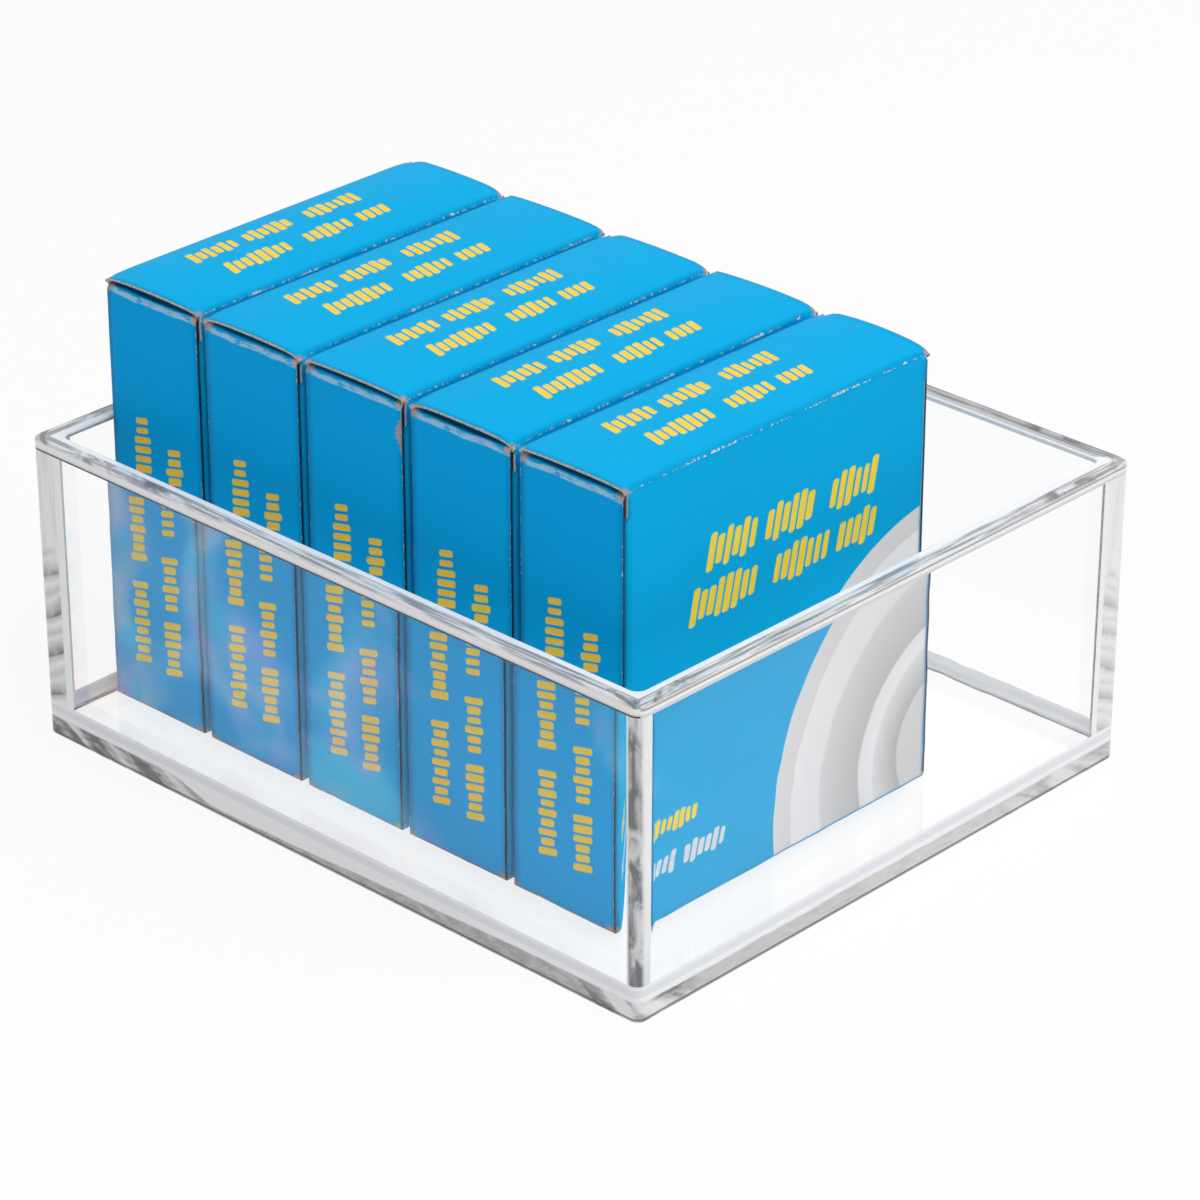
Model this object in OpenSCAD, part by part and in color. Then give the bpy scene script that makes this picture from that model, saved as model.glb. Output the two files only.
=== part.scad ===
// Clear moulded drawer tray with a row of five tuck-end paperboard cartons,
// each holding one roll of tape on a plastic core.
// Millimetres, +Z up, origin at the centre of the tray's underside.
// The cartons stand in a row along X and their narrow ends face -Y and +Y.

/* [Tape roll] */
// Width of the tape, and of its core
tape_w = 19; // [12:0.5:25]
// Outside diameter of the wound roll
roll_od = 60; // [45:1:75]
// Bore of the core that the tape is wound on
core_bore = 25.4; // [20:0.2:27]
// Wall of the core
core_wall = 3.3; // [2:0.1:5]
// Depth of the step at each end of the core's bore
core_step = 4; // [2:0.5:5]
// Radial depth of that step
core_step_t = 0.9; // [0.5:0.1:1.1]
// Bevel on the sharp edges of roll and core
roll_bevel = 0.3; // [0.1:0.1:0.6]

/* [Carton] */
// Thickness of the paperboard
board = 0.5; // [0.3:0.05:0.8]
// Free play between the roll's sides and the carton's large panels
side_play = 0.25; // [0.1:0.05:0.6]
// Free play between the roll and the dust flaps at each end
end_play = 1.4; // [0.6:0.1:3]
// Free height between the roll and the edge of the top panel
head_room = 9; // [6:0.5:16]
// Rise of the bowed top panel above its side creases
crown = 1.4; // [0.6:0.1:2]
// Rounding of the outside creases
crease_r = 0.45; // [0.3:0.05:0.5]
// Width of the glued lap inside the bottom panel
lap_w = 7; // [4:0.5:8]
// How far the glued lap stops short of each end of the bottom panel
lap_inset = 2; // [1:0.5:5]

/* [Tuck closures] */
// Length of the tuck tab, measured from the carton's end face
tab_len = 14; // [8:0.5:18]
// Slope of the tuck tab below level, in degrees
tab_slope = 6; // [4:0.5:10]
// How much narrower the tuck tab is than its panel, at each side
tab_inset = 0.6; // [0.3:0.1:1.5]
// Rounding of the tuck tab's free corners
tab_corner_r = 5; // [2:0.5:7]
// Outside radius of the fold between the closure panel and its tab
fold_r = 0.9; // [0.85:0.05:1.5]
// Gap between the fold and the underside of the top panel's edge
tuck_gap = 0.15; // [0.1:0.05:0.4]
// How far the closure panel stops short of the carton's side faces
closure_inset = 0.35; // [0.2:0.05:1]
// Gap between a closure and the creases and dust flaps behind it
layer_gap = 0.1; // [0.05:0.05:0.3]
// Height of a closure's rounded bottom crease above the tray's floor
crease_lift = 0.1; // [0.05:0.05:0.3]

/* [Dust flaps] */
// Length of each dust flap from its side panel
flap_len = 8.4; // [4:0.2:8.6]
// Height by which each dust flap stops short of the tuck tab
flap_drop = 3.5; // [2.5:0.5:8]
// Rise of the slanted lower edge of a dust flap
flap_slant_low = 3; // [1:0.5:6]
// Fall of the slanted upper edge of a dust flap
flap_slant_high = 5; // [1:0.5:10]

/* [Row] */
// Gap between neighbouring cartons
carton_gap = 1.25; // [0.6:0.05:2.5]
// Gap between the first carton and the tray's left wall
left_room = 0.7; // [0.4:0.1:5]
// Free width between the last carton and the tray's right wall
right_room = 11; // [1:0.5:40]
// Free depth between the cartons and the tray's front wall
front_room = 9; // [9:0.5:30]
// Free depth between the cartons and the tray's rear wall
rear_room = 27; // [27:1:60]

/* [Tray] */
// Height of the tray
tray_h = 51; // [35:1:60]
// Thickness of the walls at the rim
wall_t = 3.4; // [2:0.1:5]
// Draft of each inside face, from the rim to the floor
inner_draft = 0.3; // [0.1:0.1:1]
// Draft of each outside face, from the rim to the underside
outer_draft = 0.2; // [0.1:0.1:1]
// Thickness of the floor
floor_t = 4.2; // [2:0.1:6]
// Outside radius of the tray's upright corners
corner_r = 1.8; // [1.5:0.1:4]
// Inside radius of the tray's upright corners
inner_corner_r = 1.2; // [1:0.1:3]
// Bevel along the edges of the rim
rim_bevel = 0.35; // [0.2:0.05:0.6]
// Bevel along the bottom edges of the tray
foot_bevel = 0.5; // [0.3:0.1:1.2]

/* [Hidden] */

carton_count = 5;
core_fit = 0.02;    // gap between the core and the wound tape
seat_gap = 0.05;    // gap under the roll, where it rests on the glued lap
lip_back = 0.1;     // the top panel's free edges stop this far short of the end faces
flap_lift = 0.5;    // gap between the dust flaps and the bottom panel
overlap = 0.5;      // how far cutting tools run past the faces they cut
round_fn = 96;      // facets of round parts
post_fn = 32;       // facets of the tray's corner posts

// Carton, from the roll it holds
core_od = core_bore + 2 * core_wall;
carton_w = tape_w + 2 * (side_play + board);
end_stack = 2 * board + layer_gap;              // closure panel, gap and dust flap
carton_d = roll_od + 2 * (end_stack + end_play);
lap_top = 2 * board;                            // upper face of the glued lap
side_h = lap_top + seat_gap + roll_od + head_room + board;
carton_h = side_h + crown;
crown_r = (carton_w * carton_w / 4 + crown * crown) / (2 * crown);
flap_y = board + layer_gap;                     // outer face of the dust flaps

// Closures: the scored hinge line is at the middle of the board
hinge_r = board / 2;
hinge_z = crease_lift + hinge_r;
fold_top = side_h - board - tuck_gap;
closure_w = carton_w - 2 * closure_inset;
flap_top = fold_top - board - flap_drop;

// Tray, from the row of cartons and the room around it
pitch = carton_w + carton_gap;
row_w = carton_count * pitch - carton_gap;
wall_low = wall_t + inner_draft;                // inside face of a wall at the floor
tray_w = row_w + left_room + right_room + 2 * wall_low;
tray_d = carton_d + front_room + rear_room + 2 * wall_low;
row_x = -tray_w / 2 + wall_low + left_room;
row_y = -tray_d / 2 + wall_low + front_room;

tray_colour = [0.86, 0.91, 0.94, 0.35];
board_colour = [0.05, 0.60, 0.85];
closure_colour = [0.04, 0.50, 0.74];
tape_colour = [0.90, 0.91, 0.88];
core_colour = [0.97, 0.97, 0.95];

// Places children() as carton number n of the row
module in_carton(n) {
    translate([row_x + (n - 1) * pitch, row_y, floor_t])
        children();
}

// ---- Tray ---------------------------------------------------------------

// One outside corner of the tray, drafted, with a bevelled foot and rim
module corner_post() {
    r_low = corner_r - outer_draft;
    rotate_extrude($fn = post_fn)
        polygon([
            [0, 0],
            [r_low - foot_bevel, 0],
            [r_low, foot_bevel],
            [corner_r, tray_h - rim_bevel],
            [corner_r - rim_bevel, tray_h],
            [0, tray_h]
        ]);
}

// Four copies of children() at the corners of a w by d rectangle
module at_corners(w, d) {
    for (sx = [-1, 1])
        for (sy = [-1, 1])
            translate([sx * w / 2, sy * d / 2, 0])
                children();
}

module tray_outside() {
    hull()
        at_corners(tray_w - 2 * corner_r, tray_d - 2 * corner_r)
            corner_post();
}

module tray_cavity() {
    span_w = tray_w - 2 * wall_low;
    span_d = tray_d - 2 * wall_low;
    depth = tray_h - floor_t;
    r = inner_corner_r;
    translate([0, 0, floor_t]) {
        hull()
            at_corners(span_w - 2 * r, span_d - 2 * r)
                cylinder(h = depth + overlap, r1 = r, r2 = r + inner_draft, $fn = post_fn);
        // bevel round the mouth
        translate([0, 0, depth - rim_bevel])
            hull()
                at_corners(span_w - 2 * r, span_d - 2 * r)
                    cylinder(h = 2 * rim_bevel, r1 = r + inner_draft,
                             r2 = r + inner_draft + 2 * rim_bevel, $fn = post_fn);
    }
}

module tray() {
    color(tray_colour)
        difference() {
            tray_outside();
            tray_cavity();
        }
}

// ---- Carton -------------------------------------------------------------

// Square with its lower left corner at the origin and rounded corners
module rounded_square(w, d, r) {
    translate([r, 0])
        square([w - 2 * r, d]);
    translate([0, r])
        square([w, d - 2 * r]);
    for (x = [r, w - r])
        for (y = [r, d - r])
            translate([x, y])
                circle(r = r, $fn = 24);
}

// Cross-section of the sleeve, seen from the front: flat sides and bottom, bowed top
module sleeve_outline(inset, r) {
    intersection() {
        translate([inset, inset])
            rounded_square(carton_w - 2 * inset, carton_h + r, r);
        union() {
            square([carton_w, side_h - 2 * board]);
            translate([carton_w / 2, carton_h - crown_r])
                circle(r = crown_r - inset, $fn = 180);
        }
    }
}

// The sleeve's four panels, as long as the top panel, which runs out over both closures
module sleeve_tube() {
    translate([0, carton_d - lip_back, 0])
        rotate([90, 0, 0])
            linear_extrude(carton_d - 2 * lip_back)
                difference() {
                    sleeve_outline(0, crease_r);
                    sleeve_outline(board, board / 4);
                }
}

// Cuts the side and bottom panels back at the front end, below the top panel,
// and rounds the upright creases where the dust flaps turn in
module end_cut() {
    translate([0, 0, -overlap])
        linear_extrude(side_h - board + overlap)
            difference() {
                translate([-overlap, -overlap])
                    square([carton_w + 2 * overlap, flap_y + crease_r + overlap]);
                translate([0, flap_y])
                    rounded_square(carton_w, carton_d, crease_r);
            }
}

// A dust flap of the left panel at the front end, folded in behind the closure
module dust_flap() {
    z0 = board + flap_lift;
    translate([board / 2, flap_y + board, 0])
        rotate([90, 0, 0])
            linear_extrude(board)
                polygon([
                    [0, z0],
                    [flap_len - board / 2, z0 + flap_slant_low],
                    [flap_len - board / 2, flap_top - flap_slant_high],
                    [0, flap_top]
                ]);
}

// Both dust flaps of one end
module dust_flap_pair() {
    dust_flap();
    translate([carton_w, 0, 0])
        mirror([1, 0, 0])
            dust_flap();
}

// Turns children() at the front end round to the rear end as well
module at_both_ends() {
    children();
    translate([0, carton_d, 0])
        mirror([0, 1, 0])
            children();
}

module carton_sleeve() {
    difference() {
        union() {
            sleeve_tube();
            at_both_ends()
                dust_flap_pair();
            // glued lap, inside the bottom panel
            translate([board / 2, flap_y + lap_inset, board / 2])
                cube([lap_w, carton_d - 2 * (flap_y + lap_inset), lap_top - board / 2]);
        }
        at_both_ends()
            end_cut();
    }
}

// ---- Closures -----------------------------------------------------------

function arc_points(centre, r, from, to, steps) = [
    for (i = [0:steps])
        let (a = from + (to - from) * i / steps)
            [centre[0] + r * cos(a), centre[1] + r * sin(a)]
];

// Side view of a closure in Y and Z: upright panel, fold and sloping tuck tab
module closure_profile() {
    centre = [fold_r, fold_top - fold_r];
    end_angle = 90 - tab_slope;
    run = [cos(tab_slope), -sin(tab_slope)];
    out = [cos(end_angle), sin(end_angle)];
    reach = (tab_len - fold_r) / cos(tab_slope);
    outer_end = centre + fold_r * out + reach * run;
    inner_end = centre + (fold_r - board) * out + reach * run;
    polygon(concat(
        [[0, hinge_z]],
        arc_points(centre, fold_r, 180, end_angle, 10),
        [outer_end, inner_end],
        arc_points(centre, fold_r - board, end_angle, 180, 10),
        [[board, hinge_z]]
    ));
}

// Plan of a closure: full width at the panel, narrower at the tab with rounded corners
module closure_plan() {
    tab_w = closure_w - 2 * tab_inset;
    square([closure_w, board + layer_gap / 2]);
    translate([tab_inset, -tab_corner_r])
        rounded_square(tab_w, tab_len + tab_corner_r, tab_corner_r);
}

// A closure as it stands at the front end, hinged along the bottom crease
module closure() {
    translate([closure_inset, 0, 0]) {
        intersection() {
            translate([closure_w, 0, 0])
                rotate([90, 0, -90])
                    linear_extrude(closure_w)
                        mirror([1, 0])
                            closure_profile();
            linear_extrude(carton_h)
                closure_plan();
        }
        translate([0, hinge_r, hinge_z])
            rotate([0, 90, 0])
                cylinder(h = closure_w, r = hinge_r, $fn = 24);
    }
}

// ---- Tape ---------------------------------------------------------------

// Ring about the X axis, standing on the glued lap, from the rows of its half section
module roll_ring(section) {
    translate([board + side_play, carton_d / 2, lap_top + seat_gap + roll_od / 2])
        rotate([90, 0, 90])
            rotate_extrude($fn = round_fn)
                polygon(section);
}

function bevelled_ring(r_in, r_out, w, b) = [
    [r_in, b],
    [r_in + b, 0],
    [r_out - b, 0],
    [r_out, b],
    [r_out, w - b],
    [r_out - b, w],
    [r_in + b, w],
    [r_in, w - b]
];

module tape_roll() {
    roll_ring(bevelled_ring(core_od / 2 + core_fit, roll_od / 2, tape_w, roll_bevel));
}

// The core's bore is relieved at both ends, which leaves a band in the middle
module core() {
    r_in = core_bore / 2;
    r_end = r_in + core_step_t;
    r_out = core_od / 2;
    roll_ring([
        [r_end, 0],
        [r_out - roll_bevel, 0],
        [r_out, roll_bevel],
        [r_out, tape_w - roll_bevel],
        [r_out - roll_bevel, tape_w],
        [r_end, tape_w],
        [r_end, tape_w - core_step],
        [r_in, tape_w - core_step],
        [r_in, core_step],
        [r_end, core_step]
    ]);
}

// ---- Numbered pieces ----------------------------------------------------

module carton_n(n) {
    color(board_colour)
        in_carton(n)
            carton_sleeve();
}

module front_closure_n(n) {
    color(closure_colour)
        in_carton(n)
            closure();
}

module rear_closure_n(n) {
    color(closure_colour)
        in_carton(n)
            translate([0, carton_d, 0])
                mirror([0, 1, 0])
                    closure();
}

module tape_roll_n(n) {
    color(tape_colour)
        in_carton(n)
            tape_roll();
}

module core_n(n) {
    color(core_colour)
        in_carton(n)
            core();
}

tray();
for (n = [1:carton_count]) {
    carton_n(n);
    front_closure_n(n);
    rear_closure_n(n);
    tape_roll_n(n);
    core_n(n);
}
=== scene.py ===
import math

import bmesh
import bpy
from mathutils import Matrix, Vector, noise

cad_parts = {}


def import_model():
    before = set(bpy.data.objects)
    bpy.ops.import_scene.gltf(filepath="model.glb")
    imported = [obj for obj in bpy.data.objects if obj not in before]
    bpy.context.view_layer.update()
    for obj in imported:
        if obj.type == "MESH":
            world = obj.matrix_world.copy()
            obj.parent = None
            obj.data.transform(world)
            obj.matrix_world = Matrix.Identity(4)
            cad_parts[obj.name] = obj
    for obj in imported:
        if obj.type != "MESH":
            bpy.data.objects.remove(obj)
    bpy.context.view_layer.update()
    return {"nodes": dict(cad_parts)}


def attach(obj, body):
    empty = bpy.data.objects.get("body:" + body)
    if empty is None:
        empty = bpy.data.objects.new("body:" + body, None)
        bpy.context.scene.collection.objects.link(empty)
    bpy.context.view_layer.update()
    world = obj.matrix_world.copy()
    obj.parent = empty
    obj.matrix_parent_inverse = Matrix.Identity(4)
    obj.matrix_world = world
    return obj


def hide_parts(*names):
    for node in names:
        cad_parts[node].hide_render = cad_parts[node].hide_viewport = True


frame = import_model()

MM = 0.001

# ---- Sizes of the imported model, in millimetres ---------------------------

CARTONS = 5
WIDTH, DEPTH = 20.5, 65.0        # a carton's outside width and depth
SIDE_H = 70.55                   # height of the top panel's side creases
CROWN = 1.4                      # rise of the bowed top panel
BOARD = 0.4                      # thickness of the paperboard
FLAP_Y = 0.6                     # outer face of the dust flaps
LIP_BACK = 0.1                   # the top panel's free edges stop this far short
FOLD_TOP, FOLD_R = 69.9, 0.9     # top and radius of a closure's fold
TAB_LEN, TAB_SLOPE, TAB_INSET, TAB_CORNER = 14.0, 6.0, 0.6, 5.0
CLOSURE_INSET = 0.35
FLAP_LEN, FLAP_TOP, FLAP_LOW = 8.4, 65.9, 1.0
PITCH = 21.75                    # from one carton to the next
ROW_X, ROW_Y, FLOOR = -58.9, -41.5, 4.2   # corner of the row, and the floor it stands on
TRAY_W, TRAY_D, TRAY_H = 126.6, 108.4, 51.0
WALL, INNER_DRAFT, OUTER_DRAFT = 3.4, 0.3, 0.2
CORNER_R, INNER_CORNER_R = 1.8, 1.2
RIM_BEVEL, FOOT_BEVEL = 0.35, 0.5
ROLL_Y, ROLL_Z = ROW_Y + DEPTH / 2, FLOOR + 31.05

# Chosen for the looks
FLOOR_FILLET = 0.4
# How high the grey of the foot reaches, and how low that of the rim
FOOT_TOP, RIM_FROM = 6.1, 49.2
# Lengths of wall before and after each corner that catch the light, anticlockwise from the
# corner at +X, +Y, and the same on the inner faces
POSTS = ((6.2, 4.3), (6.4, 6.4), (6.4, 6.7), (2.4, 2.7))
INNER_POSTS = ((0.4, 0.4),) * 4
# The camera, as fitted to the tray's corners
EYE_AT, EYE_AIM, LENS, SENSOR = (465.44, -486.36, 370.9), (5.15, -0.61, 27.24), 147.98, 36.0
# The key lamp, in metres
LAMP_AT, LAMP_AIM, LAMP_SIZE, LAMP_LEVEL = (0.45, 0.10, 1.15), (0, 0, 0.035), 0.9, 0.62


# ---- Mesh helpers --------------------------------------------------------

WELD = 0.002                     # points closer than this become one


def spread(start, stop, steps):
    """steps + 1 evenly spaced numbers from start to stop."""
    return [start + (stop - start) * i / steps for i in range(steps + 1)]


def arc(cx, cy, r, start, stop, steps):
    """Points on an arc, angles in degrees."""
    turn = [math.radians(a) for a in spread(start, stop, steps)]
    return [(cx + r * math.cos(a), cy + r * math.sin(a)) for a in turn]


class Sheet:
    """Collects grids of points in millimetres into one mesh."""

    def __init__(self):
        self.points, self.faces, self.panels = [], [], []

    def grid(self, rows, panel=0, flip=False, keep=None):
        """rows is a list of equally long lists of points. keep(i, j) says which cells exist.
        panel is a material slot, or panel(i, j) for each cell."""
        base, wide = len(self.points), len(rows[0])
        for row in rows:
            self.points.extend(row)
        for i in range(len(rows) - 1):
            for j in range(wide - 1):
                if keep and not keep(i, j):
                    continue
                a = base + i * wide + j
                ring = [a, a + 1, a + wide + 1, a + wide]
                self.faces.append(ring[::-1] if flip else ring)
                self.panels.append(panel(i, j) if callable(panel) else panel)

    def face(self, ring):
        """One flat face of points already there, in slot 0."""
        self.faces.append(ring)
        self.panels.append(0)

    def build(self, name, materials):
        """A new smooth piece of what was collected, with materials in its slots."""
        mesh = bpy.data.meshes.new(name)
        mesh.from_pydata([Vector(p) * MM for p in self.points], [], self.faces)
        for face, panel in zip(mesh.polygons, self.panels):
            face.material_index = panel
            face.use_smooth = True
        work = bmesh.new()
        work.from_mesh(mesh)
        bmesh.ops.remove_doubles(work, verts=work.verts, dist=WELD * MM)
        loose = [v for v in work.verts if not v.link_faces]
        bmesh.ops.delete(work, geom=loose, context="VERTS")
        work.to_mesh(mesh)
        work.free()
        for material in materials:
            mesh.materials.append(material)
        piece = bpy.data.objects.new(name, mesh)
        bpy.context.scene.collection.objects.link(piece)
        return piece


def wobble(x, y, z, size, seed):
    """Smooth seeded noise from -1 to 1 with features of about size millimetres."""
    shift = (7.3 * seed, -3.1 * seed, 1.7 * seed)
    return noise.noise(Vector([v / size + s for v, s in zip((x, y, z), shift)]))


# ---- Node helpers --------------------------------------------------------

def srgb(*levels):
    """A colour given as 0 to 255 screen levels, in linear light."""
    parts = [v / 255 for v in levels]
    return [p / 12.92 if p < 0.04045 else ((p + 0.055) / 1.055) ** 2.4 for p in parts] + [1.0]


def darker(colour, share):
    """colour with its light cut to share."""
    return [part * share for part in colour[:3]] + [1]


def grey(level, cool=1):
    """A grey screen level, with its blue raised by cool."""
    return srgb(level, level, level + cool)


class Num:
    """A number in a node tree. Arithmetic on it adds Math nodes."""

    def __init__(self, tree, socket):
        self.tree, self.socket = tree, socket

    def math(self, operation, *others):
        node = self.tree.nodes.new("ShaderNodeMath")
        node.operation = operation
        for slot, value in zip(node.inputs, (self,) + others):
            if isinstance(value, Num):
                self.tree.links.new(value.socket, slot)
            else:
                slot.default_value = value
        return Num(self.tree, node.outputs[0])

    def __add__(self, other):
        return self.math("ADD", other)

    def __sub__(self, other):
        return self.math("SUBTRACT", other)

    def __mul__(self, other):
        return self.math("MULTIPLY", other)

    def __truediv__(self, other):
        return self.math("DIVIDE", other)

    def __rsub__(self, other):
        return (self * -1.0) + other

    __radd__ = __add__
    __rmul__ = __mul__

    def __abs__(self):
        return self.math("ABSOLUTE")

    def floor(self):
        return self.math("FLOOR")

    def low(self, other):
        return self.math("MINIMUM", other)

    def high(self, other):
        return self.math("MAXIMUM", other)

    def over(self, other):
        return self.math("GREATER_THAN", other)

    def under(self, other):
        return self.math("LESS_THAN", other)

    def ramp(self, start, stop):
        """0 at start and 1 at stop, smooth between them."""
        node = self.tree.nodes.new("ShaderNodeMapRange")
        node.interpolation_type = "SMOOTHSTEP"
        flip = start > stop
        node.inputs["From Min"].default_value = min(start, stop)
        node.inputs["From Max"].default_value = max(start, stop)
        node.inputs["To Min"].default_value = 1.0 if flip else 0.0
        node.inputs["To Max"].default_value = 0.0 if flip else 1.0
        self.tree.links.new(self.socket, node.inputs["Value"])
        return Num(self.tree, node.outputs["Result"])


class Paint:
    """A new material with a Principled shader, and short names for the nodes it needs."""

    def __init__(self, name, colour, roughness, **inputs):
        self.material = bpy.data.materials.new(name)
        self.material.use_nodes = True
        self.tree = self.material.node_tree
        self.shader = self.tree.nodes["Principled BSDF"]
        self.output = self.tree.nodes["Material Output"]
        self.set("Base Color", colour)
        self.set("Roughness", roughness)
        for key, value in inputs.items():
            self.set(key.replace("_", " "), value)
        coords = self.add("ShaderNodeTexCoord")
        scaled = self.add("ShaderNodeVectorMath", operation="SCALE")
        scaled.inputs["Scale"].default_value = 1000.0
        self.link(coords.outputs["Object"], scaled.inputs[0])
        self.place = scaled.outputs[0]
        parts = self.add("ShaderNodeSeparateXYZ")
        self.link(self.place, parts.inputs[0])
        self.x, self.y, self.z = [Num(self.tree, s) for s in parts.outputs]

    def add(self, kind, **settings):
        node = self.tree.nodes.new(kind)
        for key, value in settings.items():
            setattr(node, key, value)
        return node

    def link(self, source, target):
        self.tree.links.new(source.socket if isinstance(source, Num) else source, target)

    def set(self, key, value):
        if isinstance(value, (Num, bpy.types.NodeSocket)):
            self.link(value, self.shader.inputs[key])
        else:
            self.shader.inputs[key].default_value = value

    def vector(self, *parts):
        node = self.add("ShaderNodeCombineXYZ")
        for slot, value in zip(node.inputs, parts):
            if isinstance(value, Num):
                self.link(value, slot)
            else:
                slot.default_value = value
        return node.outputs[0]

    def noise(self, size, detail, stretch=(1, 1, 1), place=None, rough=0.5, warp=0.0):
        """Noise of about size millimetres, drawn out along stretch."""
        node = self.add("ShaderNodeTexNoise")
        node.inputs["Distortion"].default_value = warp
        node.inputs["Scale"].default_value = 1.0 / size
        node.inputs["Detail"].default_value = detail
        node.inputs["Roughness"].default_value = rough
        source = place or self.place
        if stretch != (1, 1, 1):
            mapping = self.add("ShaderNodeVectorMath", operation="DIVIDE")
            mapping.inputs[1].default_value = stretch
            self.link(source, mapping.inputs[0])
            source = mapping.outputs[0]
        self.link(source, node.inputs["Vector"])
        return Num(self.tree, node.outputs["Fac"])

    def chance(self, value):
        """A random number from 0 to 1 for each value."""
        node = self.add("ShaderNodeTexWhiteNoise", noise_dimensions="1D")
        self.link(value, node.inputs["W"])
        return Num(self.tree, node.outputs["Value"])

    def mix(self, amount, first, second):
        """A colour between first and second."""
        node = self.add("ShaderNodeMix", data_type="RGBA")
        slots = (node.inputs[0], node.inputs[6], node.inputs[7])
        for slot, value in zip(slots, (amount, first, second)):
            if isinstance(value, (Num, bpy.types.NodeSocket)):
                self.link(value, slot)
            else:
                slot.default_value = value
        return node.outputs[2]

    def levels(self, value, stops):
        """Cool greys along value, given as pairs of a place from 0 to 1 and a screen level."""
        node = self.add("ShaderNodeValToRGB")
        marks = node.color_ramp.elements
        tones = [grey(level, 2) for at, level in stops]
        for (at, level), tone in zip(stops[1:-1], tones[1:-1]):
            marks.new(at).color = tone
        marks[0].color, marks[-1].color = tones[0], tones[-1]
        self.link(value, node.inputs[0])
        return node.outputs[0]

    def bump(self, height, depth):
        """height from 0 to 1 raises the surface by depth millimetres."""
        node = self.add("ShaderNodeBump")
        node.inputs["Strength"].default_value = 1.0
        node.inputs["Distance"].default_value = depth * MM
        self.link(height, node.inputs["Height"])
        self.link(node.outputs[0], self.shader.inputs["Normal"])

    def random(self):
        """A random number from 0 to 1 for each object."""
        return Num(self.tree, self.add("ShaderNodeObjectInfo").outputs["Random"])


# ---- Paperboard ----------------------------------------------------------

# the end faces' blue is BLUE shifted in hue: a painted shade tint for ends that stand in shade
BLUE, END_SHADE_BLUE = srgb(4, 178, 238), srgb(2, 174, 246)
YELLOW, SIDE_YELLOW = srgb(250, 216, 88), srgb(255, 228, 74)
GRAIN_BLUE = srgb(60, 205, 245)
FIBRE = srgb(236, 238, 240)
TAN = srgb(206, 168, 140)
SATIN = 0.4                      # roughness of the varnish
FOLD_SHADE, RUBBED_BLUE = srgb(6, 44, 84), srgb(190, 224, 240)
BRUISED_FOOT, WHITE_INK = srgb(176, 132, 122), srgb(228, 236, 242)
SLANT = 0.22                     # how far a dash leans for each millimetre of height
ROW_SEEDS = (3.1, 9.7)
# The printed arcs: their outer radius, and their greys from the middle out
ARCS_R = 40.0
ARC_GREYS = ((0.0, 214), (0.30, 222), (0.31, 190), (0.44, 232), (0.45, 246), (0.52, 240),
             (0.53, 198), (0.74, 224), (0.75, 240), (0.90, 246), (0.91, 228), (1.0, 232))


def dashes(p, s, t, start, count, gaps, height, pitch, seed):
    """A row of count slanted round-ended dashes along s from start, centred on t = 0. The cells
    in gaps are left out. Widths and heights vary from dash to dash."""
    run = s - start + t * SLANT
    cell = (run / pitch).floor()
    pick, other = p.chance(cell + seed), p.chance(cell + (seed + 71.3))
    half = pick * (0.10 * pitch) + 0.31 * pitch
    tall = other.over(0.6) * (0.13 * height) + 0.37 * height
    round_r = 0.26 * pitch
    across = (abs(run - (cell + 0.5) * pitch) - half + round_r).high(0.0)
    along = (abs(t) - tall + round_r).high(0.0)
    reach = (across * across + along * along).math("SQRT")
    there = cell.over(-0.5) * cell.under(count - 0.5)
    for gap in gaps:
        there = there * abs(cell - gap).over(0.5)
    return reach.ramp(round_r + 0.05, round_r - 0.05) * there


def two_rows(p, s, rows, height, pitch):
    """Two rows of dashes along s. Each of rows gives t, start, count and gaps."""
    first, second = [dashes(p, s, *row, height, pitch, seed)
                     for row, seed in zip(rows, ROW_SEEDS)]
    return first.high(second)


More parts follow.
